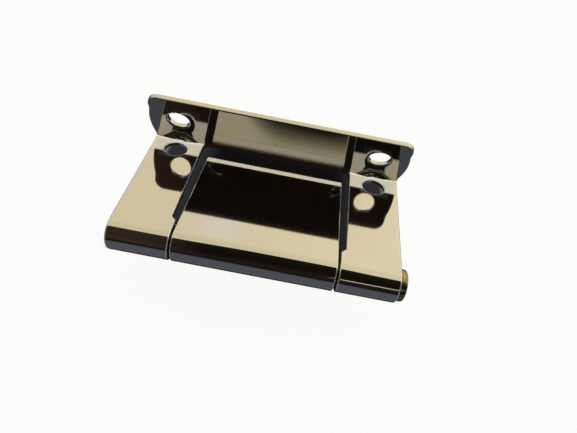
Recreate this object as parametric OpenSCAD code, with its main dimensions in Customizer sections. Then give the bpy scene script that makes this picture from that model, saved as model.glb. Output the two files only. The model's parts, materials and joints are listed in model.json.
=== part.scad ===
// Flap hinge: two folded, plated sheet leaves on one headed pin.
// X runs along the pin, Y from the pin to the flange, Z up from the outer plate.
// The origin lies midway between the outer plate's two screw holes, on the plate's upper face.

/* [Sheet] */
// Thickness of the sheet that both leaves are folded from
sheet_t = 1.3; // [1:0.1:1.6]
// Inside radius of the bend between a plate and its flange
bend_r = 0.3; // [0.2:0.1:0.6]
// Lean of a flange past square, towards the pin, in degrees
lean = 19; // [0:1:24]
// Radius of the free corners of both flanges
corner_r = 2.5; // [1:0.5:4]

/* [Outer leaf] */
// Width across both end knuckles
leaf_w = 60; // [56:1:80]
// Distance from the pin's axis to the front of the upright flange
reach = 28.8; // [24:0.2:40]
// Height of the upright flange, up its slope
flange_h = 14.2; // [13:0.2:20]
// How far the flange's sides belly out where the bend has squeezed the sheet
belly = 0.6; // [0.2:0.1:1]
// Height of the middle of that belly, up the slope
belly_h = 5.6; // [4.5:0.1:6.5]
// Radius in the rear corners of the window between the tabs
window_fillet = 1.1; // [0.4:0.1:2]
// Distance from the pin's axis to the step where the window widens
step_y = 2.8; // [1:0.1:5]

/* [Screw holes of the outer leaf] */
// Diameter of the holes in the plate
plate_hole_d = 5.3; // [4:0.1:5.4]
// Distance of their centres from the front of the flange
plate_hole_setback = 3.55; // [3.55:0.05:8]
// Diameter of the holes in the flange
flange_hole_d = 5; // [4:0.1:5.8]
// Height of their centres, up the slope
flange_hole_h = 7.4; // [6:0.1:8]
// How much nearer to the middle the flange's holes lie than the plate's
flange_hole_inset = 0.5; // [0:0.1:2]
// Radius of the rolled rim round the holes
rim_r = 0.5; // [0.2:0.05:0.6]

/* [Inner leaf] */
// Width of the inner leaf and its knuckle
inner_w = 33.6; // [28:0.2:36]
// Gap beside the inner knuckle
knuckle_gap = 0.5; // [0.3:0.1:0.8]
// Gap beside the inner plate
slot_gap = 1.45; // [1:0.05:2]
// Gap between the inner leaf's far end and the upright flange, with the leaves level
end_gap = 1; // [0.8:0.1:3]
// Outside radius of the inner leaf's bend, which is pressed sharp
inner_bend_out_r = 1; // [0.6:0.1:1.5]
// Height of the hanging flange, down its slope
inner_flange_h = 14.2; // [12:0.2:20]
// Diameter of the screw holes in the hanging flange
inner_hole_d = 5; // [4:0.1:6]
// Distance between those holes
inner_hole_spacing = 19; // [14:0.5:20]
// Depth of their centres, down the slope
inner_hole_h = 8; // [7:0.1:8]
// Angle by which the inner leaf has dropped below level, in degrees
open_deg = 5; // [0:0.5:90]

/* [Pin] */
// Diameter of the pin
pin_d = 5; // [4:0.1:6]
// Radial clearance between the pin and the knuckles
pin_clearance = 0.03; // [0.02:0.01:0.08]
// Angle of a knuckle's free end above the horizontal, in degrees
curl_end = 30; // [10:1:32]
// Diameter of the pin's head
head_d = 6.7; // [6.5:0.1:7]
// Thickness of the head
head_t = 1.4; // [1:0.1:2.5]
// Radius of the head's rounded edge
head_round = 0.5; // [0.2:0.1:0.8]
// Chamfer on the pin's plain end
tip_chamfer = 0.35; // [0.1:0.05:0.6]

/* [Hidden] */
$fn = 96;
// Overlap that makes joined shapes one solid and lets cuts pass right through
eps = sheet_t / 2;

bore_r = pin_d / 2 + pin_clearance;
knuckle_r = bore_r + sheet_t;
window_w = inner_w + 2 * slot_gap;
knuckle_window_w = inner_w + 2 * knuckle_gap;
knuckle_w = (leaf_w - knuckle_window_w) / 2;
plate_hole_x = (leaf_w + window_w) / 4;
flange_hole_x = plate_hole_x - flange_hole_inset;
pin_y = plate_hole_setback - reach;
// How far a fold's corner moves along its plate for each unit that both its faces move out
spread = (1 + sin(lean)) / cos(lean);
fold_step = sheet_t * spread;
// The inner leaf folds the other way, so its inner face lies one sheet in from its bend's outside
inner_face = reach - end_gap - fold_step;
// Length of slope that the bend itself takes up
bend_run = bend_r * tan((90 + lean) / 2);
belly_half = belly_h - bend_run - eps;
belly_r = (belly_half * belly_half + belly * belly) / (2 * belly);

// Draws a section in the Y-Z plane, width long along X and centred on x
module along_pin(width, x = 0)
    translate([x - width / 2, 0, 0])
        rotate([90, 0, 90])
            linear_extrude(width)
                children();

// Draws an outline in the plane of a flange whose front passes through y = face
module on_flange(face)
    translate([0, face, 0])
        rotate([90 + lean, 0, 0])
            children();

// Section of a curled knuckle that hangs below the plate, with its seam under the plate
module knuckle_section() {
    far = 2 * knuckle_r;
    translate([0, -knuckle_r])
        difference() {
            circle(knuckle_r);
            circle(bore_r);
            polygon([[0, 0], [far * cos(curl_end), far * sin(curl_end)], [far, far], [0, far]]);
        }
}

// Section of a plate that starts at the pin's axis, the bend at its far end and its flange
module fold_section(face, height) {
    centre = [face - bend_r * spread, bend_r];
    outside = bend_r + sheet_t;
    far = 2 * outside;
    translate([0, -sheet_t])
        square([centre.x, sheet_t]);
    translate(centre)
        intersection() {
            difference() {
                circle(outside);
                circle(bend_r);
            }
            polygon([[0, 0], [0, -far], [far, -far], far * [cos(lean), sin(lean)]]);
        }
    translate([face, 0])
        rotate(lean)
            translate([0, bend_run])
                square([sheet_t, height - bend_run]);
}

// Kite between the two tangent lines of a bend and its centre, r from the centre to each line
module bend_kite(r)
    polygon([[0, 0], [0, -r], r * [spread, -1], r * [cos(lean), sin(lean)]]);

// The same section with its bend's outside pressed sharp, to a radius of out_r
module sharp_fold_section(face, height, out_r) {
    up = [-sin(lean), cos(lean)];
    back = [cos(lean), sin(lean)];
    front = [face, 0];
    difference() {
        polygon([
            [0, -sheet_t], front + [fold_step, -sheet_t], front + sheet_t * back + height * up,
            front + height * up, front, [0, 0]
        ]);
        translate(front + [fold_step - out_r * spread, out_r - sheet_t])
            difference() {
                bend_kite(out_r + eps);
                circle(out_r);
            }
    }
    translate(front + bend_r * [-spread, 1])
        difference() {
            bend_kite(bend_r + eps);
            circle(bend_r);
        }
}

// Waste that leaves round corners on a flange of the given width and height
module corner_cuts(width, height)
    for (side = [0, 1])
        mirror([side, 0, 0])
            translate([width / 2 - corner_r, height - corner_r, -sheet_t - eps])
                linear_extrude(sheet_t + 2 * eps)
                    difference() {
                        square(corner_r + eps);
                        circle(corner_r);
                    }

// Shallow bulges on both sides of the upright flange
module belly_outline()
    for (side = [-1, 1])
        intersection() {
            translate([side * (leaf_w / 2 + belly - belly_r), belly_h])
                circle(belly_r);
            translate([side * leaf_w / 2, belly_h])
                square(2 * [belly + eps, belly_half + eps], center = true);
        }

// Screw hole down through a sheet whose face lies at z = 0, with a rolled rim on that face
module rimmed_hole(d) {
    translate([0, 0, -sheet_t - eps])
        cylinder(d = d, h = sheet_t + 2 * eps);
    rotate_extrude()
        difference() {
            translate([d / 2 - rim_r, -rim_r])
                square([2 * rim_r, rim_r + eps]);
            translate([d / 2 + rim_r, -rim_r])
                circle(rim_r);
        }
}

// Opening for the inner leaf, cut back to the plane of the upright flange's front, with round rear corners
module window_cut() {
    depth = 2 * knuckle_r + 2 * eps;
    half = window_w / 2;
    neck = knuckle_window_w / 2;
    widen_y = step_y + half - neck;
    far_y = reach + depth;
    difference() {
        intersection() {
            translate([0, 0, -depth])
                linear_extrude(2 * depth)
                    polygon([
                        [-neck, -depth], [neck, -depth], [neck, step_y], [half, widen_y], [half, far_y],
                        [-half, far_y], [-half, widen_y], [-neck, step_y]
                    ]);
            on_flange(reach)
                translate([-half, -far_y, 0])
                    cube([window_w, 2 * far_y, 2 * far_y]);
        }
        for (side = [0, 1])
            mirror([side, 0, 0])
                translate([half - window_fillet, reach - window_fillet, -depth])
                    linear_extrude(2 * depth)
                        difference() {
                            square([window_fillet + eps, depth]);
                            circle(window_fillet);
                        }
    }
}

// Upright sheet with end knuckles, two tabs beside a window and one flange across the back
module outer_leaf()
    color("gainsboro")
        translate([0, pin_y, 0])
            difference() {
                union() {
                    difference() {
                        along_pin(leaf_w) {
                            knuckle_section();
                            fold_section(reach, flange_h);
                        }
                        window_cut();
                    }
                    on_flange(reach)
                        translate([0, 0, -sheet_t])
                            linear_extrude(sheet_t)
                                belly_outline();
                }
                on_flange(reach)
                    corner_cuts(leaf_w, flange_h);
                for (side = [-1, 1]) {
                    translate([side * plate_hole_x, reach - plate_hole_setback, 0])
                        rimmed_hole(plate_hole_d);
                    on_flange(reach)
                        translate([side * flange_hole_x, flange_hole_h, 0])
                            rimmed_hole(flange_hole_d);
                }
            }

// Sheet with the middle knuckle, a plain plate and a flange that hangs from its far end
module inner_leaf()
    color("silver")
        translate([0, pin_y, -knuckle_r])
            rotate([-open_deg, 0, 0])
                translate([0, 0, knuckle_r])
                    difference() {
                        along_pin(inner_w) {
                            knuckle_section();
                            translate([0, -sheet_t])
                                mirror([0, 1])
                                    sharp_fold_section(inner_face, inner_flange_h, inner_bend_out_r);
                        }
                        translate([0, 0, -sheet_t])
                            mirror([0, 0, 1])
                                on_flange(inner_face) {
                                    corner_cuts(inner_w, inner_flange_h);
                                    for (side = [-1, 1])
                                        translate([side * inner_hole_spacing / 2, inner_hole_h, 0])
                                            rimmed_hole(inner_hole_d);
                                }
                    }

// Turned pin with a flat round-edged head at +X and a chamfered plain end
module hinge_pin()
    color("darkkhaki")
        translate([-leaf_w / 2, pin_y, -knuckle_r])
            rotate([0, 90, 0])
                rotate_extrude() {
                    polygon([
                        [0, 0], [pin_d / 2 - tip_chamfer, 0], [pin_d / 2, tip_chamfer],
                        [pin_d / 2, leaf_w + head_round], [0, leaf_w + head_round]
                    ]);
                    translate([0, leaf_w])
                        square([head_d / 2, head_t - head_round]);
                    translate([0, leaf_w])
                        square([head_d / 2 - head_round, head_t]);
                    translate([head_d / 2 - head_round, leaf_w + head_t - head_round])
                        circle(head_round);
                }

outer_leaf();
inner_leaf();
hinge_pin();
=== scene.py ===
"""Looks of a flap hinge: two folded, bright-plated sheet leaves on one turned, headed pin."""

import json
import logging
import math
from dataclasses import astuple, dataclass, field
from enum import Enum
from functools import partial, reduce

import bpy
from mathutils import Matrix, Vector
from mathutils.geometry import delaunay_2d_cdt


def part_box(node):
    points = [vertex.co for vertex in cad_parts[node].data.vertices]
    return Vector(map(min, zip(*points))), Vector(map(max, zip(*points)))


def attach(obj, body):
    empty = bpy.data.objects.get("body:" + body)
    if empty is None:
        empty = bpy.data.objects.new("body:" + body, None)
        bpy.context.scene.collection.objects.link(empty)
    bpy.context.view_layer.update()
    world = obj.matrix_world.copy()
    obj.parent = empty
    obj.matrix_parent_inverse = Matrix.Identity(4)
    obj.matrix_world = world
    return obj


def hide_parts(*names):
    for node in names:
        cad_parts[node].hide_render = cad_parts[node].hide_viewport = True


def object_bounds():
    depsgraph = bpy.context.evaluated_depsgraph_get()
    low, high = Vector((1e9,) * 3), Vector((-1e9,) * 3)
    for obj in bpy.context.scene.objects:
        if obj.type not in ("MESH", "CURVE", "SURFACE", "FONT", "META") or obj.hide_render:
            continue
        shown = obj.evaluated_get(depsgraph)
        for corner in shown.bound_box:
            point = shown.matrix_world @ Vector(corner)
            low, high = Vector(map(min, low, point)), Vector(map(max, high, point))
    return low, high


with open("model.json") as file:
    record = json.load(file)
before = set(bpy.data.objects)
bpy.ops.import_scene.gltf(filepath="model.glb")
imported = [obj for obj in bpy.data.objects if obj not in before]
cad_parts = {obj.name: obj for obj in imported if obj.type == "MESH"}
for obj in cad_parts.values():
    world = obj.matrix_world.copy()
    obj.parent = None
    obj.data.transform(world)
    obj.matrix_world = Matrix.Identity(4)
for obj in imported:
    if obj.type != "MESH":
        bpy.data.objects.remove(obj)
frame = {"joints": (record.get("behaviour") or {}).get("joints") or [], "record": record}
CAD_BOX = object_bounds()

LOG = logging.getLogger("flap_hinge")
MM = 0.001
IMAGE_WIDTH = 577
SENSOR_WIDTH = 36.0
# Vertex attribute that marks painted light: a painted highlight along rounded edges, painted shade on the
# pin's barrel.
EDGE_ATTRIBUTE = "edge_highlight_barrel_shade"
CURL_STEP = math.radians(4)
BEND_STEP = math.radians(7)
HOLE_STEPS = 72
CORNER_STEPS = 12
BELLY_STEPS = 24
CROWN_STEPS = 8
QUARTER = math.pi / 2

Point = tuple[float, float]
Colour = tuple[float, float, float, float]
Grain = tuple[float, float, float]
Piece = bpy.types.Object
Material = bpy.types.Material
Tree = bpy.types.ShaderNodeTree
Socket = bpy.types.NodeSocket
Sockets = bpy.types.bpy_prop_collection
Source = Socket | float | tuple[float, ...]
Sources = dict[str | int, Source]
Limit = tuple[Socket, float, float]


class Body(Enum):
    """Rigid bodies of the frame."""

    OUTER = "outer"
    INNER = "inner"


class Slot(Enum):
    """Material slots of the record."""

    CHROME = "chrome_plate"
    BRASS = "pin_brass"


class Turn(Enum):
    """Which way a leaf's flange turns out of its plate."""

    UP = 1
    DOWN = -1


@dataclass(frozen=True)
class Stock:
    """Sheet that both leaves are folded from, in millimetres and radians."""

    thickness: float = 1.3
    bend_r: float = 0.3
    curl_end: float = math.radians(30)
    corner_r: float = 2.5
    edge_r: float = 0.24
    nick_r: float = 0.3
    rim_r: float = 0.5
    burr_r: float = 0.12


@dataclass(frozen=True)
class Fit:
    """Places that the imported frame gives, in millimetres and radians; a hole is its x and its radius."""

    pin_y: float
    knuckle_r: float
    lean: float
    reach: float
    opening: float
    half_w: float
    inner_half: float
    flange_h: float
    plate_hole: Point
    flange_hole: Point
    flange_hole_h: float
    inner_hole: Point

    @classmethod
    def read(cls, stock: Stock) -> "Fit":
        """Reads the frame's joint, mounts and boxes.

        Args:
            stock: The sheet that the leaves are folded from.

        Returns:
            The places that the meshes are built from.
        """
        mounts = {mount["name"]: mount for mount in frame["record"]["mounts"]}
        joint = frame["joints"][0]
        _, pin_y, pin_z = (value / MM for value in joint["pos_m"])
        bore = mounts["flange_screw_right"]
        inner_bore = mounts["inner_screw_right"]
        lean = math.atan2(bore["axis"][2], bore["axis"][1])
        seat = mounts["flange_seat"]["pos_m"]
        face_y = (seat[1] + seat[2] * math.tan(lean)) / MM
        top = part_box("outer_leaf")[1].z / MM
        plate = mounts["plate_screws"]["dims"]
        return cls(
            pin_y=pin_y,
            knuckle_r=-pin_z,
            lean=lean,
            reach=face_y - pin_y,
            opening=math.radians(joint["range_deg"][1]),
            half_w=-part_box("hinge_pin")[0].x / MM,
            inner_half=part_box("inner_leaf")[1].x / MM,
            flange_h=(top - stock.thickness * math.sin(lean)) / math.cos(lean),
            plate_hole=(plate["spacing_x_mm"] / 2, plate["hole_r_mm"]),
            flange_hole=(bore["pos_m"][0] / MM, bore["dims"]["r_mm"]),
            flange_hole_h=seat[2] / MM / math.cos(lean),
            inner_hole=(inner_bore["pos_m"][0] / MM, inner_bore["dims"]["r_mm"]),
        )

    @property
    def spread(self) -> float:
        """How far a sheet's corner moves when both its faces move out by one unit."""
        return (1 + math.sin(self.lean)) / math.cos(self.lean)

    @property
    def fold_y(self) -> float:
        """Where the upright flange's front meets the plate's upper face."""
        return self.reach + self.pin_y


@dataclass(frozen=True)
class Arc:
    """Bent stretch of a sheet's middle line, in the plane across the pin."""

    centre: Point
    radius: float
    start: float
    sweep: float

    @property
    def length(self) -> float:
        """Length along the arc."""
        return self.radius * abs(self.sweep)

    def at(self, run: float) -> tuple[Point, Point]:
        """Follows the arc.

        Args:
            run: Distance from the arc's start.

        Returns:
            The point there and the unit heading.
        """
        turn = math.copysign(1.0, self.sweep)
        angle = self.start + self.sweep * run / self.length
        cos, sin = math.cos(angle), math.sin(angle)
        point = (self.centre[0] + self.radius * cos, self.centre[1] + self.radius * sin)
        return point, (-turn * sin, turn * cos)


@dataclass(frozen=True)
class Straight:
    """Flat stretch of a sheet's middle line, in the plane across the pin."""

    start: Point
    heading: Point
    length: float

    def at(self, run: float) -> tuple[Point, Point]:
        """The point at a distance from the line's start, and the unit heading."""
        point = (self.start[0] + self.heading[0] * run, self.start[1] + self.heading[1] * run)
        return point, self.heading


@dataclass(frozen=True)
class FoldPath:
    """Middle line of a leaf: its curl, plate, bend and flange, unrolled as v with 0 at the pin's axis."""

    curl: Arc
    plate: Straight
    bend: Arc
    flange: Straight
    half_t: float
    sharpened: float
    spread: float
    taken: float
    ease: float = 3.0

    @classmethod
    def make(
        cls, stock: Stock, fit: Fit, face: float, flange_h: float, turn: Turn, sharpened: float = 0.0
    ) -> "FoldPath":
        """Lays out the middle line of one leaf.

        Args:
            stock: The sheet.
            fit: Places from the frame.
            face: Distance from the pin's axis to the flange's inner face, at the plate's inner face.
            flange_h: Height of the flange along its slope.
            turn: Which way the flange turns.
            sharpened: How much less than its natural radius the bend's upper, outer face has.

        Returns:
            The path from the curl's free end to the flange's free edge.
        """
        middle = stock.thickness / 2
        way = turn.value
        curl_r = fit.knuckle_r - middle
        curled = 3 * QUARTER + stock.curl_end
        curl = Arc((0.0, -fit.knuckle_r), curl_r, QUARTER + curled, -curled)
        plate_l = face - stock.bend_r * fit.spread
        plate = Straight((0.0, -middle), (1.0, 0.0), plate_l)
        bend_r = stock.bend_r + middle
        bend = Arc((plate_l, -middle + way * bend_r), bend_r, -way * QUARTER, way * (QUARTER + fit.lean))
        start, heading = bend.at(bend.length)
        taken = stock.bend_r * math.tan((QUARTER + fit.lean) / 2)
        flange = Straight(start, heading, flange_h - taken)
        return cls(curl, plate, bend, flange, middle, sharpened, fit.spread, taken)

    @property
    def low(self) -> float:
        """Unrolled place of the curl's free end."""
        return -self.curl.length

    @property
    def bend_start(self) -> float:
        """Unrolled place where the bend starts."""
        return self.plate.length

    @property
    def bend_end(self) -> float:
        """Unrolled place where the bend ends."""
        return self.plate.length + self.bend.length

    @property
    def high(self) -> float:
        """Unrolled place of the flange's free edge."""
        return self.bend_end + self.flange.length

    def up_flange(self, height: float) -> float:
        """Unrolled place at a height up the flange's slope, from the fold's corner."""
        return self.bend_end + height - self.taken

    def at(self, v: float) -> tuple[Point, Point]:
        """Follows the path.

        Args:
            v: Unrolled place.

        Returns:
            The point on the middle line and the unit heading.
        """
        if v < 0:
            return self.curl.at(v - self.low)
        if v <= self.bend_start:
            return self.plate.at(v)
        if v < self.bend_end:
            return self.bend.at(v - self.bend_start)
        return self.flange.at(v - self.bend_end)

    def upper(self, v: float) -> Point:
        """Follows the upper face, which has a bend of its own where it is pressed sharp.

        Args:
            v: Unrolled place.

        Returns:
            The point on the face.
        """
        (y, z), (hy, hz) = self.at(v)
        shift = self.sharpened * self.spread
        if self.sharpened and self.bend_start < v < self.bend_end:
            radius = self.bend.radius + self.half_t - self.sharpened
            centre = (self.bend.centre[0] + shift, self.bend.centre[1] + self.sharpened)
            return (centre[0] - hz * radius, centre[1] + hy * radius)
        slide = 0.0
        if v <= self.bend_start:
            slide = shift * max(0.0, 1 - (self.bend_start - v) / self.ease)
        elif v >= self.bend_end:
            slide = -shift * max(0.0, 1 - (v - self.bend_end) / self.ease)
        return (y - hz * self.half_t + hy * slide, z + hy * self.half_t + hz * slide)

    def rows(self, curl_step: float, bend_step: float, clear: float) -> list[float]:
        """Places of the mesh rows that make the curved stretches round.

        Args:
            curl_step: Turn between rows round the curl.
            bend_step: Turn between rows round the bend.
            clear: Length at the curl's free end that stays without rows.

        Returns:
            Unrolled places in rising order.
        """
        curl_n = math.ceil(abs(self.curl.sweep) / curl_step)
        bend_n = math.ceil(abs(self.bend.sweep) / bend_step)
        curl = [self.low * (1 - k / curl_n) for k in range(curl_n + 1)]
        bend = [self.bend_start + self.bend.length * k / bend_n for k in range(bend_n + 1)]
        return [v for v in curl if v > self.low + clear] + bend


@dataclass
class Station:
    """One vertex of a cut edge, on both faces of the unrolled sheet."""

    upper: Point
    lower: Point
    upper_r: float
    lower_r: float
    flush: float = 0.0
    upper_out: Point = (0.0, 0.0)
    lower_out: Point = (0.0, 0.0)

    def inset(self, upper: bool) -> Point:
        """Point on the unrolled upper or lower face where the edge's rounding meets it."""
        point, out, r = self.side(upper)
        return (point[0] - out[0] * r, point[1] - out[1] * r)

    def side(self, upper: bool) -> tuple[Point, Point, float]:
        """The edge's point, outward direction and rounding on one face."""
        sides = ((self.lower, self.lower_out, self.lower_r), (self.upper, self.upper_out, self.upper_r))
        return sides[upper]

    def towards(self, other: "Station", share: float) -> "Station":
        """A station part of the way to another one.

        Args:
            other: The next station.
            share: 0 here to 1 there.

        Returns:
            The new station.
        """
        def between(a: Point | float, b: Point | float) -> Point | float:
            """Point or value between two."""
            return tuple(map(between, a, b)) if isinstance(a, tuple) else a + (b - a) * share

        return Station(*map(between, astuple(self), astuple(other)))


def outward(points: list[Point]) -> list[Point]:
    """Directions out of the sheet at each vertex of a closed outline.

    Args:
        points: Vertices with the sheet on their left.

    Returns:
        One mitred direction a vertex.
    """
    count = len(points)
    normals = []
    for i in range(count):
        a, b = points[i], points[(i + 1) % count]
        length = math.hypot(b[0] - a[0], b[1] - a[1])
        normals.append(((b[1] - a[1]) / length, (a[0] - b[0]) / length))
    result = []
    for i in range(count):
        before, after = normals[i - 1], normals[i]
        total = (before[0] + after[0], before[1] + after[1])
        scale = 2 / (total[0] ** 2 + total[1] ** 2)
        result.append((total[0] * scale, total[1] * scale))
    return result


def arc_points(centre: Point, radius: float, start: float, end: float, steps: int) -> list[Point]:
    """Points along an arc of a flat outline, both ends included."""
    angles = (start + (end - start) * k / steps for k in range(steps + 1))
    return [(centre[0] + radius * math.cos(a), centre[1] + radius * math.sin(a)) for a in angles]


def rounded(points: list[Point], radius: float, steps: int = 4) -> list[Point]:
    """Rounds the inner corners of an open line.

    Args:
        points: The line's corners; the first and last stay as they are.
        radius: Radius at every corner.
        steps: Segments of each arc.

    Returns:
        The line with an arc at each inner corner.
    """
    result = [points[0]]
    for before, corner, after in zip(points, points[1:], points[2:]):
        back = Vector(before) - Vector(corner)
        ahead = Vector(after) - Vector(corner)
        half = back.angle(ahead) / 2
        bisector = (back.normalized() + ahead.normalized()).normalized()
        centre = Vector(corner) + bisector * radius / math.sin(half)
        first = Vector(corner) + back.normalized() * radius / math.tan(half) - centre
        last = Vector(corner) + ahead.normalized() * radius / math.tan(half) - centre
        start = math.atan2(first.y, first.x)
        sweep = math.remainder(math.atan2(last.y, last.x) - start, 2 * math.pi)
        result += arc_points(tuple(centre), radius, start, start + sweep, steps)
    return result + [points[-1]]


@dataclass
class FoldedSheet:
    """Mesh of one folded sheet, made as an unrolled blank and rolled along its path."""

    path: FoldPath
    thickness: float
    place: Matrix
    rows: list[float]
    round_steps: int = 4
    loops: list[list[Station]] = field(default_factory=list)
    points: list[Vector] = field(default_factory=list)
    normals: list[Vector] = field(default_factory=list)
    painted_light: list[float] = field(default_factory=list)
    faces: list[tuple[int, ...]] = field(default_factory=list)

    def add_edge(self, stations: list[Station]) -> None:
        """Adds one closed cut edge of the blank.

        Args:
            stations: Vertices with the sheet on their left.
        """
        uppers = outward([s.upper for s in stations])
        lowers = outward([s.lower for s in stations])
        for station, upper, lower in zip(stations, uppers, lowers):
            station.upper_out = upper
            station.lower_out = lower
        self.loops.append(self.with_rows(stations))

    def add_hole(self, centre: Point, radius: float, upper_r: float, lower_r: float) -> None:
        """Adds a round hole to the unrolled sheet, with its rim's rounding on the upper and lower face."""
        ring = arc_points(centre, radius, 4 * QUARTER, 0.0, HOLE_STEPS)[:-1]
        self.add_edge([Station(p, p, upper_r, lower_r) for p in ring])

    def with_rows(self, stations: list[Station]) -> list[Station]:
        """Adds a station wherever the edge of a face crosses a mesh row.

        Args:
            stations: The edge.

        Returns:
            The edge with the further stations.
        """
        tiny = 1e-6
        result = []
        for station, following in zip(stations, stations[1:] + stations[:1]):
            shares = set()
            for upper in (True, False):
                low = station.inset(upper)[1]
                high = following.inset(upper)[1]
                if abs(high - low) > tiny:
                    shares.update((row - low) / (high - low) for row in self.rows)
            result.append(station)
            last = 0.0
            for share in sorted(shares):
                if last + tiny < share < 1 - tiny:
                    result.append(station.towards(following, share))
                    last = share
        return result

    def vertex(self, point: Point, rise: float, out: Point, slope: float, painted_light: float, flush: float) -> int:
        """Adds one rolled-up vertex.

        Args:
            point: Its place on the unrolled sheet.
            rise: Its height over the middle line.
            out: Direction out of the sheet's edge, unrolled.
            slope: Angle of its normal down from the upper face's normal.
            painted_light: 1 along the middle of a rounded edge, where the painted edge highlight is
                strongest, and 0 on a face or a wall.
            flush: 1 where the wall lies in the flange's own plane.

        Returns:
            The vertex's index.
        """
        (y, z), (hy, hz) = self.path.at(point[1])
        up = Vector((0.0, -hz, hy))
        side = Vector((out[0], hy * out[1], hz * out[1])).normalized()
        _, (fy, fz) = self.path.at(self.path.bend_end)
        front = Vector((0.0, -fz, fy))
        side = side.lerp(front, flush).normalized()
        normal = up * math.cos(slope) + side * math.sin(slope)
        if flush and slope <= QUARTER:
            normal = normal.lerp(front, flush)
        low = Vector((point[0], y, z)) - up * self.thickness / 2
        high = Vector((point[0], *self.path.upper(point[1])))
        self.points.append(self.place @ low.lerp(high, 0.5 + rise / self.thickness))
        self.normals.append((self.place.to_3x3() @ normal).normalized())
        self.painted_light.append(painted_light)
        return len(self.points) - 1

    def edge_rings(self, stations: list[Station], upper: bool) -> list[list[int]]:
        """Vertices of a rounded edge, from its face to its wall.

        Args:
            stations: The edge.
            upper: True for the upper face.

        Returns:
            One list of vertices a ring.
        """
        rings = []
        for k in range(self.round_steps + 1):
            turn = QUARTER * k / self.round_steps
            ring = []
            for station in stations:
                point, out, r = station.side(upper)
                inset = r * (1 - math.sin(turn))
                moved = (point[0] - out[0] * inset, point[1] - out[1] * inset)
                rise = self.thickness / 2 - r * (1 - math.cos(turn))
                slope = turn if upper else math.pi - turn
                height = rise if upper else -rise
                # The attribute peaks mid-rounding, where the painted edge highlight is strongest.
                ring.append(self.vertex(moved, height, out, slope, math.sin(2 * turn), station.flush))
            rings.append(ring)
        return rings

    def face_triangles(self, upper: bool, rims: list[list[int]]) -> None:
        """Fills one face of the sheet between its rims.

        Args:
            upper: True for the upper face.
            rims: The face's own vertices, one list an edge.
        """
        tiny = 1e-5
        flat: list[Point] = []
        index: list[int] = []
        edges: list[tuple[int, int]] = []
        outlines: list[list[Point]] = []
        for stations, rim in zip(self.loops, rims):
            first = len(flat)
            outline = [s.inset(upper) for s in stations]
            outlines.append(outline)
            flat += outline
            index += rim
            edges += [(first + i, first + (i + 1) % len(rim)) for i in range(len(rim))]

        def inside(u: float, v: float) -> bool:
            """Tells sheet from openings.

            Args:
                u: Place across the blank.
                v: Place along the blank.

            Returns:
                True where the blank has sheet.
            """
            hits = False
            for outline in outlines:
                for (au, av), (bu, bv) in zip(outline, outline[1:] + outline[:1]):
                    if (av > v) != (bv > v) and u < au + (v - av) * (bu - au) / (bv - av):
                        hits = not hits
            return hits

        for row in self.rows:
            across = sorted((p[0], i) for i, p in enumerate(flat) if abs(p[1] - row) < tiny)
            for (left, i), (right, j) in zip(across, across[1:]):
                if right - left > tiny and inside((left + right) / 2, row):
                    edges.append((i, j))
        made, _, triangles, origin, _, _ = delaunay_2d_cdt([Vector(p) for p in flat], edges, [], 0, tiny)
        for triangle in triangles:
            corners = [made[i] for i in triangle]
            u = sum(c.x for c in corners) / len(corners)
            v = sum(c.y for c in corners) / len(corners)
            if not inside(u, v):
                continue
            face = [index[origin[i][0]] for i in triangle]
            self.faces.append(tuple(face if upper else reversed(face)))

    def strip(self, first: list[int], second: list[int]) -> None:
        """Joins two rings of vertices with four-sided faces.

        Args:
            first: The ring nearer to the upper face.
            second: The next ring.
        """
        count = len(first)
        for i in range(count):
            j = (i + 1) % count
            self.faces.append((first[i], second[i], second[j], first[j]))

    def build(self, name: str) -> Piece:
        """Makes the mesh object.

        Args:
            name: Name of the piece.

        Returns:
            The new object, in the scene.
        """
        upper_rims, lower_rims = [], []
        for stations in self.loops:
            upper = self.edge_rings(stations, True)
            lower = self.edge_rings(stations, False)
            rings = upper + lower[::-1]
            for first, second in zip(rings, rings[1:]):
                self.strip(first, second)
            upper_rims.append(upper[0])
            lower_rims.append(lower[0])
        self.face_triangles(True, upper_rims)
        self.face_triangles(False, lower_rims)
        return new_piece(name, self.points, self.faces, self.normals, self.painted_light)


def put(name: str, data: bpy.types.ID) -> Piece:
    """A new object that shows the given data, in the scene.

    Args:
        name: Its name.
        data: Its mesh, light or camera.

    Returns:
        The object.
    """
    piece = bpy.data.objects.new(name, data)
    bpy.context.scene.collection.objects.link(piece)
    return piece


def new_piece(
    name: str, points: list[Vector], faces: list[tuple[int, ...]], normals: list[Vector], painted_light: list[float]
) -> Piece:
    """Makes a smooth mesh object with its own normals.

    Args:
        name: Name of the piece.
        points: Vertices, in metres.
        faces: Corners of each face.
        normals: One normal a vertex.
        painted_light: Share of painted light at each vertex, 0 to 1: a painted highlight on the leaves'
            edges, painted shade on the pin's barrel.

    Returns:
        The new object, in the scene.
    """
    mesh = bpy.data.meshes.new(name)
    mesh.from_pydata([tuple(p) for p in points], [], faces)
    mesh.validate()
    mesh.shade_smooth()
    mesh.normals_split_custom_set_from_vertices([tuple(n) for n in normals])
    attribute = mesh.attributes.new(EDGE_ATTRIBUTE, "FLOAT", "POINT")
    attribute.data.foreach_set("value", painted_light)
    return put(name, mesh)


def dress(piece: Piece, finish: Material, body: Body, node: str) -> None:
    """Gives a piece its material and its place in the frame.

    Args:
        piece: The piece.
        finish: Its material.
        body: The body that it moves with.
        node: The CAD node that it stands for.
    """
    piece.data.materials.append(finish)
    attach(piece, body.value)
    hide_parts(node)
    LOG.info("%s: %d faces on %s", piece.name, len(piece.data.polygons), body.value)


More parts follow.
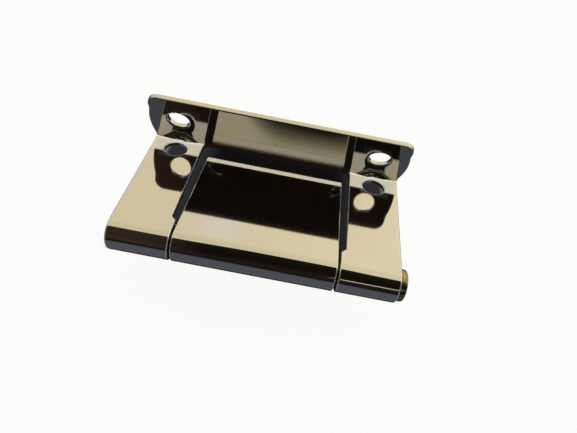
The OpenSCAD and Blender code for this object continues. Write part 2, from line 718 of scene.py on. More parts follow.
@dataclass(frozen=True)
class Nodes:
    """Short ways to add nodes to one tree."""

    tree: Tree

    def feed(self, target: Socket, source: Source) -> None:
        """Links a socket to an input, or sets the input's value.

        Args:
            target: The input.
            source: A socket, a number or a colour.
        """
        if isinstance(source, Socket):
            self.tree.links.new(source, target)
        else:
            target.default_value = source

    def add(self, kind: str, sources: Sources, **settings: object) -> Sockets:
        """Adds a node.

        Args:
            kind: Its type, without the word ShaderNode.
            sources: What feeds each of its inputs.
            **settings: Its properties.

        Returns:
            The node's outputs.
        """
        node = self.tree.nodes.new("ShaderNode" + kind)
        for name, value in settings.items():
            setattr(node, name, value)
        for label, source in sources.items():
            self.feed(node.inputs[label], source)
        return node.outputs

    def math(self, operation: str, *sources: Source) -> Socket:
        """Result of a math node."""
        return self.add("Math", dict(enumerate(sources)), operation=operation)[0]

    def vector(self, operation: str, output: str, *sources: Source) -> Socket:
        """One output of a vector math node."""
        return self.add("VectorMath", dict(enumerate(sources)), operation=operation)[output]

    def axes(self, where: Socket) -> tuple[Socket, ...]:
        """The X, Y and Z of a vector."""
        return tuple(self.add("SeparateXYZ", {0: where}))

    def spread(self, source: Socket, low: float, high: float, ends: Point = (0.0, 1.0)) -> Socket:
        """Smooth map of a value from low and high to two ends."""
        sources = {"Value": source, "From Min": low, "From Max": high, "To Min": ends[0], "To Max": ends[1]}
        return self.add("MapRange", sources, interpolation_type="SMOOTHSTEP")["Result"]

    def within(self, *limits: Limit) -> Socket:
        """Mask that is the product of smooth limits: a value, where it gives 0 and where it gives 1."""
        return reduce(partial(self.math, "MULTIPLY"), [self.spread(*limit) for limit in limits])

    def mix(self, share: Socket, first: Source, second: Source, blend: str = "MIX") -> Socket:
        """Mix of two colours or numbers, the first where the mask is 0 and the second where it is 1."""
        settings = {"data_type": "FLOAT" if isinstance(second, float) else "RGBA", "blend_type": blend}
        return self.add("Mix", {"Factor": share, "A": first, "B": second}, **settings)["Result"]

    def noise(self, where: Socket, scale: Source, grain: Grain) -> Socket:
        """Value of a noise texture with the given detail, roughness and distortion."""
        grains = dict(zip(("Detail", "Roughness", "Distortion"), grain))
        return self.add("TexNoise", {"Vector": where, "Scale": scale, **grains})["Fac"]


@dataclass(frozen=True)
class Surface:
    """Colour, roughness and metallic share of one kind of surface."""

    tone: Colour
    rough: float
    metal: float = 1.0

    def lay(self, nodes: Nodes, mask: Socket, below: dict[str, Source]) -> dict[str, Source]:
        """Lays this surface over another one by a mask; a value that both have stays a plain value.

        Args:
            nodes: The material's nodes.
            mask: 1 where this surface shows.
            below: What feeds the shader so far.

        Returns:
            What feeds it with this surface on top.
        """
        values = {"Base Color": self.tone, "Roughness": self.rough, "Metallic": self.metal}
        return {
            label: value if below[label] == value else nodes.mix(mask, below[label], value)
            for label, value in values.items()
        }


@dataclass(frozen=True)
class FoldAxes:
    """Distances from the outer leaf's middle, from its flange's front and from its plate."""

    aside: Socket
    behind: Socket
    rise: Socket

    @classmethod
    def place(cls, nodes: Nodes, where: Socket, fit: Fit) -> "FoldAxes":
        """Adds the nodes that work the distances out.

        Args:
            nodes: The material's nodes.
            where: The object's own coordinates.
            fit: Places from the frame.

        Returns:
            The axes.
        """
        local = nodes.vector("SUBTRACT", "Vector", where, (0.0, fit.fold_y * MM, 0.0))
        square = (0.0, math.cos(fit.lean), math.sin(fit.lean))
        x, _, rise = nodes.axes(local)
        return cls(nodes.math("ABSOLUTE", x), nodes.vector("DOT_PRODUCT", "Value", local, square), rise)


@dataclass(frozen=True)
class Patch:
    """Box round a stretch of sheet that has a surface of its own, in millimetres from the fold."""

    surface: Surface
    aside: Point
    behind: Point
    rise: Point
    soft: float = 0.05
    sharp: float = 0.05

    def mask(self, nodes: Nodes, fold: FoldAxes) -> Socket:
        """Marks the patch, whose front end alone is soft.

        Args:
            nodes: The material's nodes.
            fold: Distances from the fold.

        Returns:
            The mask's socket, 1 inside the box.
        """
        limits = []
        for axis, (low, high), soft in (
            (fold.aside, self.aside, self.sharp),
            (fold.behind, self.behind, self.soft),
            (fold.rise, self.rise, self.sharp),
        ):
            limits.append((axis, (low - soft) * MM, (low + soft) * MM))
            limits.append((axis, (high + self.sharp) * MM, (high - self.sharp) * MM))
        return nodes.within(*limits)


class Effects:
    """Shader node groups that the finishes share."""

    FILM: Grain = (3.0, 0.55, 0.0)
    FILM_RANGE = (0.45, 0.72)
    SPECK: Grain = (1.0, 0.4, 0.0)
    SPECK_RANGE = (0.7, 0.76)
    SPECK_FINER = 22.0
    HAIR: Grain = (2.0, 0.5, 0.3)
    HAIR_RANGE = (0.71, 0.76)
    HAIR_TURNS = (0.4, 1.5, 2.6)
    HAIR_STRETCH = (1.0, 26.0, 1.0)
    HAIR_DEPTH = -0.02
    WAVE: Grain = (1.0, 0.3, 0.0)

    def __init__(self) -> None:
        """Builds every group once."""
        self.marks = self.make_marks()
        self.scratches = self.make_scratches()
        self.ripple = self.make_ripple()

    @staticmethod
    def start(name: str, inputs: dict[str, float], *outputs: str) -> tuple[Nodes, Sockets, Sockets]:
        """Starts a node group with a Vector input.

        Args:
            name: Name of the group.
            inputs: Default of each further input.
            *outputs: Names of its outputs.

        Returns:
            The group's nodes, its given sockets and its result sockets.
        """
        group = bpy.data.node_groups.new(name, "ShaderNodeTree")
        group.interface.new_socket("Vector", in_out="INPUT", socket_type="NodeSocketVector")
        for label, default in inputs.items():
            socket = group.interface.new_socket(label, in_out="INPUT", socket_type="NodeSocketFloat")
            socket.default_value = default
        for label in outputs:
            group.interface.new_socket(label, in_out="OUTPUT", socket_type="NodeSocketFloat")
        given = group.nodes.new("NodeGroupInput").outputs
        return Nodes(group), given, group.nodes.new("NodeGroupOutput").inputs

    def make_marks(self) -> Tree:
        """Handling marks: soft films and small dull specks.

        Returns:
            A group with Vector, Scale and Amount in, and Film and Specks out.
        """
        inputs = {"Scale": 120.0, "Amount": 1.0}
        nodes, given, result = self.start("handling_marks", inputs, "Film", "Specks")
        film = nodes.spread(nodes.noise(given["Vector"], given["Scale"], self.FILM), *self.FILM_RANGE)
        film = nodes.math("MULTIPLY", film, given["Amount"])
        finer = nodes.math("MULTIPLY", given["Scale"], self.SPECK_FINER)
        speck = nodes.spread(nodes.noise(given["Vector"], finer, self.SPECK), *self.SPECK_RANGE)
        nodes.feed(result["Film"], film)
        nodes.feed(result["Specks"], nodes.math("MULTIPLY", speck, film))
        return nodes.tree

    def make_scratches(self) -> Tree:
        """Fine hairline scratches that run every way.

        Returns:
            A group with Vector and Scale in, and Mask out.
        """
        nodes, given, result = self.start("hairline_scratches", {"Scale": 90.0}, "Mask")
        hairs = []
        for turn in self.HAIR_TURNS:
            turned = nodes.add("Mapping", {
                "Vector": given["Vector"], "Rotation": (turn / 2, turn, turn), "Scale": self.HAIR_STRETCH,
            })["Vector"]
            hairs.append(nodes.spread(nodes.noise(turned, given["Scale"], self.HAIR), *self.HAIR_RANGE))
        nodes.feed(result["Mask"], reduce(partial(nodes.math, "MAXIMUM"), hairs))
        return nodes.tree

    def make_ripple(self) -> Tree:
        """Slow waviness of pressed and polished sheet.

        Returns:
            A group with Vector, Scale and Scratch in, and Height out.
        """
        nodes, given, result = self.start("pressed_ripple", {"Scale": 60.0, "Scratch": 0.0}, "Height")
        wave = nodes.noise(given["Vector"], given["Scale"], self.WAVE)
        nodes.feed(result["Height"], nodes.math("MULTIPLY_ADD", given["Scratch"], self.HAIR_DEPTH, wave))
        return nodes.tree


@dataclass(frozen=True)
class MetalFinish:
    """A bare or plated metal with handling marks."""

    name: str
    clean: Colour
    dull: Colour
    # Surface laid where the painted-light attribute is 1: a painted highlight on chrome edges, painted
    # shade on the pin's barrel.
    edge: Surface
    polish: float
    film_rough: float
    film_scale: float
    film_amount: float
    ripple_scale: float
    ripple_distance: float
    speck_rough: float = 0.25

    def material(self, effects: Effects, fit: Fit, patches: tuple[Patch, ...] = ()) -> Material:
        """Builds the material.

        Args:
            effects: The shared node groups.
            fit: Places from the frame.
            patches: Stretches with a surface of their own: satin with a painted sheen, painted shade and
                painted highlights.

        Returns:
            The material.
        """
        material = bpy.data.materials.new(self.name)
        material.use_nodes = True
        nodes = Nodes(material.node_tree)
        where = nodes.add("TexCoord", {})["Object"]

        def effect(group: Tree, **sources: Source) -> Sockets:
            """Outputs of a shared effect at this place."""
            return nodes.add("Group", {"Vector": where, **sources}, node_tree=group)

        marks = effect(effects.marks, Scale=self.film_scale, Amount=self.film_amount)
        hairs = effect(effects.scratches, Scale=self.film_scale)
        ripple = effect(effects.ripple, Scale=self.ripple_scale, Scratch=hairs["Mask"])
        film = marks["Film"]
        ends = {"Value": film, "To Min": self.polish, "To Max": self.film_rough}
        rough = nodes.add("MapRange", ends)["Result"]
        shown = {
            "Base Color": nodes.mix(film, self.clean, self.dull),
            "Roughness": nodes.math("MULTIPLY_ADD", marks["Specks"], self.speck_rough, rough),
            "Metallic": 1.0,
        }
        # Lays painted light by the vertex attribute: edge highlights on the leaves, shade on the pin's
        # barrel.
        painted_light = nodes.add("Attribute", {}, attribute_name=EDGE_ATTRIBUTE)["Fac"]
        shown = self.edge.lay(nodes, painted_light, shown)
        fold = FoldAxes.place(nodes, where, fit) if patches else None
        for patch in patches:
            shown = patch.surface.lay(nodes, patch.mask(nodes, fold), shown)
        bump = {"Strength": 1.0, "Distance": self.ripple_distance, "Height": ripple["Height"]}
        shown["Normal"] = nodes.add("Bump", bump)["Normal"]
        for label, source in shown.items():
            nodes.feed(nodes.tree.nodes["Principled BSDF"].inputs[label], source)
        return material


# Satin, unbuffed stretches. Their cream tone is also a painted sheen that stands in for the warm light they
# catch.
SATIN_SHEEN = Surface((0.76, 0.68, 0.50, 1), 0.45, 0.2)
# Darker, sharper chrome on the flange's front: painted shade on what the flange reflects.
FLANGE_SHADE = Surface((0.45, 0.44, 0.42, 1), 0.02)
# Bright half-metal rims round the plate's holes: a painted highlight.
RIM_HIGHLIGHT = Surface((0.92, 0.92, 0.93, 1), 0.22, 0.5)
CHROME = MetalFinish(
    name="bright_chrome",
    clean=(0.69, 0.685, 0.67, 1),
    dull=(0.63, 0.625, 0.61, 1),
    # Rounded edges: brighter, bluish satin. This is partly the sheared edges' own finish and partly a
    # painted highlight.
    edge=Surface((0.84, 0.85, 0.88, 1), 0.18, 0.82),
    polish=0.055,
    film_rough=0.085,
    film_scale=70.0,
    film_amount=0.6,
    ripple_scale=55.0,
    ripple_distance=0.00002,
)
BRASS = MetalFinish(
    name="dulled_brass",
    clean=(0.40, 0.34, 0.20, 1),
    dull=(0.20, 0.165, 0.09, 1),
    # Barrel inside the knuckles: near black. This is painted shade for the gaps between the knuckles.
    edge=Surface((0.07, 0.06, 0.04, 1), 0.4),
    polish=0.22,
    film_rough=0.38,
    film_scale=260.0,
    film_amount=0.9,
    ripple_scale=400.0,
    ripple_distance=0.00001,
)


@dataclass
class OuterLeaf:
    """Outer leaf: end knuckles, two tabs beside a window, and one flange across the back."""

    stock: Stock
    fit: Fit
    knuckle_gap: float = 0.5
    slot_gap: float = 1.45
    step_y: float = 2.8
    window_fillet: float = 1.1
    belly: float = 0.6
    belly_h: float = 5.6
    belly_trim: float = 0.65
    side_r: float = 0.45
    flush_r: float = 0.02
    tab_behind: Point = (-4.85, 0.5)
    tab_rise: Point = (-0.07, 0.17)
    tab_soft: float = 0.4
    shaded_behind: Point = (-0.3, 0.3)
    shaded_foot: float = 0.25
    rim_spread: float = 1.5
    rim_rise: Point = (-0.5, -0.04)

    def build(self, finish: Material) -> None:
        """Builds and dresses the leaf.

        Args:
            finish: Its material.
        """
        path = FoldPath.make(self.stock, self.fit, self.fit.reach, self.fit.flange_h, Turn.UP)
        place = Matrix.Scale(MM, 4) @ Matrix.Translation((0, self.fit.pin_y, 0))
        rows = path.rows(CURL_STEP, BEND_STEP, 2 * self.stock.nick_r)
        sheet = FoldedSheet(path, self.stock.thickness, place, rows)
        sheet.add_edge(self.outline(path))
        rim, burr = self.stock.rim_r, self.stock.burr_r
        plate_x, plate_r = self.fit.plate_hole
        flange_x, flange_r = self.fit.flange_hole
        flange_v = path.up_flange(self.fit.flange_hole_h)
        for side in (-1, 1):
            sheet.add_hole((side * plate_x, -self.fit.pin_y), plate_r, rim, burr)
            sheet.add_hole((side * flange_x, flange_v), flange_r, rim, burr)
        dress(sheet.build("outer_leaf_folded"), finish, Body.OUTER, "outer_leaf")

    def patches(self) -> tuple[Patch, ...]:
        """Satin tabs beside the fold, where no buffing wheel reaches, with a cream painted sheen; painted
        shade on the flange front; painted highlights round the plate's holes.

        Returns:
            The leaf's patches, the lowest first.
        """
        beyond = self.fit.half_w + 2 * self.belly
        tabs = Patch(SATIN_SHEEN, (self.half_window, beyond), self.tab_behind, self.tab_rise, self.tab_soft)
        front = Patch(FLANGE_SHADE, (-1.0, beyond), self.shaded_behind, (self.shaded_foot, self.fit.flange_h))
        hole_x, hole_r = self.fit.plate_hole
        rim = hole_r + self.rim_spread * self.stock.rim_r
        middle = -self.fit.fold_y * math.cos(self.fit.lean)
        holes = Patch(RIM_HIGHLIGHT, (hole_x - rim, hole_x + rim), (middle - rim, middle + rim), self.rim_rise)
        return (tabs, front, holes)

    @property
    def half_window(self) -> float:
        """Half the width of the window between the tabs."""
        return self.fit.inner_half + self.slot_gap

    def outline(self, path: FoldPath) -> list[Station]:
        """Outer edge of the blank.

        Args:
            path: The leaf's path.

        Returns:
            The edge's stations.
        """
        half = self.fit.half_w
        window = self.half_window
        neck = self.fit.inner_half + self.knuckle_gap
        widen = self.step_y + window - neck
        plain = self.stock.edge_r
        right = self.window_corner(path, window)
        tab = rounded(
            [(window, right[-1].upper[1]), (window, widen), (neck, self.step_y), (neck, path.low),
             (half, path.low), (half, path.bend_end)],
            self.stock.nick_r,
        )[1:-1]
        r = self.stock.corner_r
        corner = arc_points((half - r, path.high - r), r, 0.0, QUARTER, CORNER_STEPS)
        right += [Station(p, p, plain, plain) for p in tab]
        right[-1].upper_r = self.side_r
        foot = (half, path.bend_start - self.window_fillet)
        right.append(Station(foot, foot, self.side_r, plain))
        right += [Station(p, p, plain, plain) for p in self.belly_points(path) + corner]
        left = [
            Station((-s.upper[0], s.upper[1]), (-s.lower[0], s.lower[1]), s.upper_r, s.lower_r, s.flush)
            for s in reversed(right)
        ]
        return right + left

    def window_corner(self, path: FoldPath, window: float) -> list[Station]:
        """Right rear corner of the window, whose rear wall lies in the plane of the flange's front.

        Args:
            path: The leaf's path.
            window: Half the window's width.

        Returns:
            Stations from the rear wall round to the tab's inner edge.
        """
        reach = self.fit.reach
        fillet = self.window_fillet
        outside = self.stock.bend_r + self.stock.thickness
        kept = math.acos(self.stock.bend_r / outside)
        lower_rear = path.bend_end - path.bend.radius * kept
        stations = []
        for u, y in arc_points((window - fillet, reach - fillet), fillet, QUARTER, 0.0, CORNER_STEPS):
            share = (y - reach + fillet) / fillet
            climb = max(0.0, (y - path.bend_start) / (reach - path.bend_start))
            upper_v = min(y, path.bend_start) + climb * path.bend.length
            lower_v = y + share * (lower_rear - reach)
            upper_r = self.flush_r + (self.stock.edge_r - self.flush_r) * (1 - share)
            stations.append(Station((u, upper_v), (u, lower_v), upper_r, self.stock.edge_r / 2, share ** 2))
        return stations

    def belly_points(self, path: FoldPath) -> list[Point]:
        """Bulged right side of the flange.

        Args:
            path: The leaf's path.

        Returns:
            Points up the side, on the unrolled sheet.
        """
        half_l = self.belly_h - path.taken - self.belly_trim
        radius = (half_l ** 2 + self.belly ** 2) / (2 * self.belly)
        spread = math.asin(half_l / radius)
        centre = (self.fit.half_w + self.belly - radius, path.up_flange(self.belly_h))
        return arc_points(centre, radius, -spread, spread, BELLY_STEPS)


@dataclass
class InnerLeaf:
    """Inner leaf: the middle knuckle, a plain plate and the flange that hangs from its far end."""

    stock: Stock
    fit: Fit
    end_gap: float = 1.0
    bend_out_r: float = 1.0
    flange_h: float = 14.2
    hole_h: float = 8.0
    satin_sheen_behind: Point = (-3.95, 1.0)
    satin_sheen_rise: Point = (-5.0, -1.6)
    satin_sheen_soft: float = 0.1

    def patches(self) -> tuple[Patch, ...]:
        """Satin far end, under the outer leaf's flange, with a cream painted sheen."""
        aside = (-1.0, self.fit.inner_half + 1.0)
        return (Patch(SATIN_SHEEN, aside, self.satin_sheen_behind, self.satin_sheen_rise, self.satin_sheen_soft),)

    def build(self, finish: Material) -> None:
        """Builds and dresses the leaf.

        Args:
            finish: Its material.
        """
        face = self.fit.reach - self.end_gap - self.stock.thickness * self.fit.spread
        sharpened = self.stock.bend_r + self.stock.thickness - self.bend_out_r
        path = FoldPath.make(self.stock, self.fit, face, self.flange_h, Turn.DOWN, sharpened)
        about_pin = Matrix.Translation((0, 0, self.fit.knuckle_r))
        dropped = Matrix.Rotation(-self.fit.opening, 4, "X")
        seat = Matrix.Translation((0, self.fit.pin_y, -self.fit.knuckle_r))
        place = Matrix.Scale(MM, 4) @ seat @ dropped @ about_pin
        rows = path.rows(CURL_STEP, BEND_STEP, 2 * self.stock.nick_r)
        sheet = FoldedSheet(path, self.stock.thickness, place, rows)
        sheet.add_edge(self.outline(path))
        hole_x, hole_r = self.fit.inner_hole
        for side in (-1, 1):
            centre = (side * hole_x, path.up_flange(self.hole_h))
            sheet.add_hole(centre, hole_r, self.stock.burr_r, self.stock.rim_r)
        dress(sheet.build("inner_leaf_folded"), finish, Body.INNER, "inner_leaf")

    def outline(self, path: FoldPath) -> list[Station]:
        """Outer edge of the blank.

        Args:
            path: The leaf's path.

        Returns:
            The edge's stations.
        """
        half = self.fit.inner_half
        plain = self.stock.edge_r
        r = self.stock.corner_r
        side = rounded([(0.0, path.low), (half, path.low), (half, path.high)], self.stock.nick_r)[1:-1]
        corner = arc_points((half - r, path.high - r), r, 0.0, QUARTER, CORNER_STEPS)
        right = side + corner
        left = [(-u, v) for u, v in reversed(right)]
        return [Station(p, p, plain, plain) for p in right + left]


@dataclass
class HingePin:
    """Turned pin with a flat, round-edged head at its right end."""

    fit: Fit
    radius: float = 2.5
    head_r: float = 3.35
    head_t: float = 1.4
    head_round: float = 0.5
    groove: float = 0.06
    groove_w: float = 0.14
    tip_chamfer: float = 0.35
    tip_r: float = 0.2
    soft: float = 0.05
    steps: int = 96

    def build(self, finish: Material) -> None:
        """Builds and dresses the pin.

        Args:
            finish: Its material.
        """
        profile = self.profile()
        place = Matrix.Scale(MM, 4) @ Matrix.Translation((0, self.fit.pin_y, -self.fit.knuckle_r))
        points, normals, faces = [], [], []
        for (x, r), (nx, nr) in profile:
            for k in range(self.steps):
                angle = 2 * math.pi * k / self.steps
                ring = Vector((0, math.cos(angle), math.sin(angle)))
                points.append(place @ (Vector((x, 0, 0)) + ring * r))
                normals.append((Vector((nx, 0, 0)) + ring * nr).normalized())
        for i in range(len(profile) - 1):
            for k in range(self.steps):
                j = (k + 1) % self.steps
                first, second = i * self.steps, (i + 1) * self.steps
                faces.append((first + k, first + j, second + j, second + k))
        last = (len(profile) - 1) * self.steps
        faces.append(tuple(range(self.steps - 1, -1, -1)))
        faces.append(tuple(last + k for k in range(self.steps)))
        # The barrel inside the knuckles gets painted shade through the vertex attribute.
        barrel_shade = [float(x < self.fit.half_w + self.soft) for (x, _), _ in profile for _ in range(self.steps)]
        piece = new_piece("turned_pin", points, faces, normals, barrel_shade)
        dress(piece, finish, Body.OUTER, "hinge_pin")

    def profile(self) -> list[tuple[Point, Point]]:
        """Half section of the pin.

        Returns:
            Points with their normals, from the plain end to the head's face.
        """
        left, right = -self.fit.half_w, self.fit.half_w
        tip, soft, radius, head_r = self.tip_chamfer, self.soft, self.radius, self.head_r
        slant = math.sqrt(0.5)
        back, front, out = (-1.0, 0.0), (1.0, 0.0), (0.0, 1.0)
        back_out, front_out = (-slant, slant), (slant, slant)
        barrel = [
            ((left, self.tip_r), back),
            ((left, radius - tip - soft), back),
            ((left + soft, radius - tip + soft), back_out),
            ((left + tip - soft, radius - soft), back_out),
            ((left + tip + soft, radius), out),
            ((right - soft, radius), out),
            ((right + soft / 4, radius + soft), back),
            ((right + soft / 4, head_r - 2 * soft), back),
            ((right + soft, head_r - soft / 2), back_out),
            ((right + 2 * soft, head_r), out),
        ]
        shoulder = right + self.head_t - self.head_round
        line = [
            ((shoulder - self.groove_w, head_r), out),
            ((shoulder - self.groove_w / 2, head_r - self.groove), front_out),
            ((shoulder - self.groove_w / 4, head_r - self.groove), back_out),
            ((shoulder, head_r), out),
        ]
        centre = (shoulder, self.head_r - self.head_round)
        crown = []
        for x, r in arc_points(centre, self.head_round, QUARTER, 0.0, CROWN_STEPS):
            normal = ((x - centre[0]) / self.head_round, (r - centre[1]) / self.head_round)
            crown.append(((x, r), normal))
        end = right + self.head_t
        face = [((end, centre[1] - soft), front), ((end, self.tip_r), front)]
        return barrel + line + crown[1:] + face


PALE: Colour = (0.94, 0.94, 0.935, 1)
SKY: tuple[tuple[float, Colour], ...] = (
    (-30.0, (0.20, 0.17, 0.12, 1)),
    (5.0, (0.75, 0.64, 0.42, 1)),
    (30.0, (0.95, 0.83, 0.56, 1)),
    (60.0, (0.95, 0.82, 0.54, 1)),
    (86.0, (0.83, 0.735, 0.475, 1)),
    (103.8, (0.86, 0.78, 0.51, 1)),
    (104.2, (0.012, 0.010, 0.008, 1)),
    (150.0, (0.006, 0.005, 0.004, 1)),
    (176.0, (0.020, 0.012, 0.010, 1)),
    (200.0, (0.020, 0.015, 0.012, 1)),
)


class Shade(Enum):
    """Painted shade on the floor: a painted shadow under and behind the part, and tones that only
    reflections show.
    """

    UNDER_MIDDLE = (0.005, 0.005, 0.005, 1)
    UNDER_SIDES = (0.027, 0.027, 0.029, 1)
    MIRRORED_FAR = (0.012, 0.009, 0.008, 1)
    MIRRORED_NEAR = (0.100, 0.106, 0.128, 1)


class Glow(Enum):
    """Tones that parts of the surroundings add to reflections."""

    WARM = (0.035, 0.02, 0.013, 1)
    PANE = (0.92, 0.84, 0.70, 1)
    HORIZON = (0.8, 0.72, 0.53, 1)
    BLUE = (0.28, 0.47, 1.0, 1)


def sky_place(degrees: float) -> float:
    """Share of a full turn at an angle from the back horizon over the top."""
    return 0.25 + degrees / 360


def heading(azimuth: float, elevation: float) -> Vector:
    """Unit vector ahead of something that looks down by the elevation, and right of straight back."""
    level = math.cos(elevation)
    return Vector((level * math.sin(azimuth), level * math.cos(azimuth), -math.sin(elevation)))


@dataclass
class Studio:
    """Pale floor with a painted shadow behind the part, pale backdrop, surroundings that show only in
    reflections, a key light and the camera.
    """

    fit: Fit
    floor_gap: float = 0.4
    floor_size: float = 3.0
    camera_at: tuple[float, float, float] = (4.186, -58.28, 69.12)
    azimuth: float = math.radians(0.934)
    elevation: float = math.radians(45.454)
    roll: float = math.radians(11.532)
    focal_px: float = 449.4
    key_strength: float = 4.1
    key_angle: float = math.radians(4)
    key_azimuth: float = math.radians(-1)
    key_elevation: float = math.radians(50)
    head_x: float = 0.03
    head_width: float = 0.18
    head_rise: float = 8.0
    head_power: float = 4.0
    warm_x: Point = (-0.14, -0.3)
    across_x: Point = (-0.3, 0.3)
    across_gain: Point = (0.93, 1.1)
    pane_turn: Point = (22.0, 44.0)
    pane_x: Point = (-0.18, -0.09)
    pane_soft: float = 0.03
    horizon_turn: Point = (161.0, 165.0)
    horizon_soft: float = 0.15 / 360
    horizon_x: Point = (0.12, 0.16)
    blue_x: Point = (-0.45, -0.75)
    blue_y: Point = (0.35, 0.6)
    blue_z: Point = (0.6, 0.4)
    fill: float = 0.05
    shade_x: Point = (-0.0352, 0.0335)
    shade_y: Point = (-0.017, 0.029)
    shade_soft: float = 0.003
    shade_sides: Point = (0.017, 0.024)
    mirror_aside: Point = (0.030, 0.034)
    mirror_front: Point = (-0.026, -0.032)
    mirror_away: Point = (0.12, 0.07)

    def build(self) -> None:
        """Builds the stage."""
        self.floor()
        self.surroundings()
        self.key_light()
        self.camera()
        bpy.context.scene.view_settings.view_transform = "Standard"
        LOG.info("stage: floor, surroundings, key light and camera")

    def floor(self) -> None:
        """Lays the pale floor just below the part."""
        level = CAD_BOX[0][2] - self.floor_gap * MM
        half = self.floor_size / 2
        mesh = bpy.data.meshes.new("floor")
        corners = [(-half, -half, level), (half, -half, level), (half, half, level), (-half, half, level)]
        mesh.from_pydata(corners, [], [(0, 1, 2, 3)])
        piece = put("floor", mesh)
        mesh.materials.append(self.floor_finish())

    def floor_finish(self) -> Material:
        """Pale, with a painted shadow under and behind the part; in reflections it glows cool grey beside
        the part, with painted shade under it, and dark far off.

        Returns:
            The floor's material.
        """
        material = bpy.data.materials.new("pale_floor")
        material.use_nodes = True
        nodes = Nodes(material.node_tree)
        nodes.tree.nodes.clear()
        where = nodes.add("TexCoord", {})["Object"]
        x, y, _ = nodes.axes(where)
        aside = nodes.math("ABSOLUTE", x)
        soft = self.shade_soft
        # Painted shadow: an emitted dark patch where the part hides the floor, darkest in the middle.
        under = nodes.within(*self.band(x, self.shade_x, soft), *self.band(y, self.shade_y, soft))
        sides = nodes.spread(aside, *self.shade_sides)
        dark = nodes.mix(sides, Shade.UNDER_MIDDLE.value, Shade.UNDER_SIDES.value)
        pale = nodes.add("BsdfDiffuse", {"Color": PALE})[0]
        seen = {0: under, 1: pale, 2: nodes.add("Emission", {"Color": dark})[0]}

        # In reflections the floor glows a set tone, with painted shade under the part.
        beside = nodes.spread(aside, *self.mirror_aside)
        clear = nodes.math("MAXIMUM", beside, nodes.spread(y, *self.mirror_front))
        away = nodes.spread(nodes.vector("LENGTH", "Value", where), *self.mirror_away)
        near = nodes.math("MULTIPLY", clear, away)
        tone = nodes.mix(near, Shade.MIRRORED_FAR.value, Shade.MIRRORED_NEAR.value)
        ray = nodes.add("LightPath", {})
        direct = nodes.spread(ray["Diffuse Depth"], 1.0, 0.0)
        cool = nodes.add("Emission", {"Color": tone, "Strength": direct})[0]
        shown = {0: ray["Is Camera Ray"], 1: cool, 2: nodes.add("MixShader", seen)[0]}
        nodes.add("OutputMaterial", {"Surface": nodes.add("MixShader", shown)[0]})
        return material

    @staticmethod
    def band(value: Socket, ends: Point, soft: float) -> tuple[Limit, Limit]:
        """Limits of a soft-ended stretch of a value."""
        return (value, ends[0] - soft, ends[0] + soft), (value, ends[1] + soft, ends[1] - soft)

    def key_light(self) -> None:
        """Adds the key light from beside the camera, so that the part hides most of its own shadow."""
        light = bpy.data.lights.new("key", "SUN")
        light.energy = self.key_strength
        light.angle = self.key_angle
        key = put("key", light)
        key.rotation_mode = "QUATERNION"
        key.rotation_quaternion = heading(self.key_azimuth, self.key_elevation).to_track_quat("-Z", "Y")
        key.visible_glossy = False

    def surroundings(self) -> None:
        """Cream light behind and above, a dark front and head over the camera, and a cool left side."""
        world = bpy.data.worlds.new("studio")
        bpy.context.scene.world = world
        world.use_nodes = True
        nodes = Nodes(world.node_tree)
        x, y, z = nodes.axes(nodes.add("TexCoord", {})["Generated"])
        angle = nodes.math("ARCTAN2", nodes.math("MULTIPLY", y, -1.0), z)
        turn = nodes.math("MULTIPLY_ADD", angle, 0.5 / math.pi, 0.5)
        colour = self.sky(nodes, turn, x)
        colour = nodes.mix(nodes.spread(x, *self.warm_x), colour, Glow.WARM.value, "ADD")
        gain = nodes.add("MapRange", {
            "Value": x, "From Min": self.across_x[0], "From Max": self.across_x[1],
            "To Min": self.across_gain[0], "To Max": self.across_gain[1],
        })["Result"]
        colour = nodes.add("VectorMath", {0: colour, "Scale": gain}, operation="SCALE")["Vector"]
        pane = self.band(turn, tuple(map(sky_place, self.pane_turn)), self.pane_soft)
        pane_mask = nodes.within(*pane, *self.band(x, self.pane_x, self.pane_soft))
        colour = nodes.mix(pane_mask, colour, Glow.PANE.value)
        strip = self.band(turn, tuple(map(sky_place, self.horizon_turn)), self.horizon_soft)
        colour = nodes.mix(nodes.within(*strip, (x, *self.horizon_x)), colour, Glow.HORIZON.value)
        blue = nodes.within((x, *self.blue_x), (y, *self.blue_y), (z, *self.blue_z))
        colour = nodes.mix(blue, colour, Glow.BLUE.value)
        ray = nodes.add("LightPath", {})
        background = nodes.tree.nodes["Background"].inputs
        nodes.feed(background["Color"], nodes.mix(ray["Is Camera Ray"], colour, PALE))
        nodes.feed(background["Strength"], nodes.spread(ray["Diffuse Depth"], 0.0, 1.0, (1.0, self.fill)))

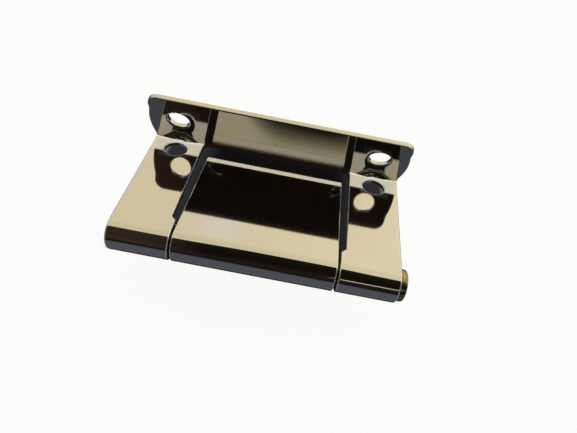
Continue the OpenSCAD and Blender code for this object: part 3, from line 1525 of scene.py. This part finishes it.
    def sky(self, nodes: Nodes, turn: Socket, x: Socket) -> Socket:
        """Colours of the sky, whose dark front reaches up over the camera like a head.

        Args:
            nodes: The world's nodes.
            turn: Turn from the back horizon over the top, as a share of a full turn.
            x: Sideways part of the direction.

        Returns:
            The colour's socket.
        """
        offset = nodes.math("MULTIPLY_ADD", x, 1 / self.head_width, -self.head_x / self.head_width)
        falling = nodes.math("MULTIPLY", nodes.math("POWER", offset, self.head_power), -1.0)
        lifted = nodes.math("MULTIPLY_ADD", nodes.math("EXPONENT", falling), self.head_rise / 360, turn)
        ramp = nodes.tree.nodes.new("ShaderNodeValToRGB")
        nodes.feed(ramp.inputs["Fac"], lifted)
        elements = ramp.color_ramp.elements
        while len(elements) < len(SKY):
            elements.new(0.5)
        for element, (degrees, colour) in zip(elements, SKY):
            element.position = sky_place(degrees)
            element.color = colour
        return ramp.outputs["Color"]

    def camera(self) -> None:
        """Sets the camera at the photograph's place, angle and lens."""
        data = bpy.data.cameras.new("camera")
        data.sensor_width = SENSOR_WIDTH
        data.lens = self.focal_px / IMAGE_WIDTH * SENSOR_WIDTH
        data.clip_start = MM
        camera = put("camera", data)
        ahead = heading(self.azimuth, self.elevation)
        right = ahead.cross(Vector((0, 0, 1))).normalized()
        up = right.cross(ahead)
        side = right * math.cos(self.roll) + up * math.sin(self.roll)
        top = up * math.cos(self.roll) - right * math.sin(self.roll)
        turned = Matrix((side, top, -ahead)).transposed().to_4x4()
        x, y, z = self.camera_at
        camera.matrix_world = Matrix.Translation(Vector((x, y + self.fit.pin_y, z)) * MM) @ turned
        bpy.context.scene.camera = camera


def main() -> None:
    """Builds the pieces in order."""
    logging.basicConfig(level=logging.INFO, format="%(name)s: %(message)s")
    stock = Stock()
    fit = Fit.read(stock)
    effects = Effects()
    outer = OuterLeaf(stock, fit)
    inner = InnerLeaf(stock, fit)
    chrome = CHROME.material(effects, fit, outer.patches() + inner.patches())
    brass = BRASS.material(effects, fit)
    outer.build(chrome)
    inner.build(chrome)
    HingePin(fit).build(brass)
    Studio(fit).build()


if __name__ == "__main__":
    main()
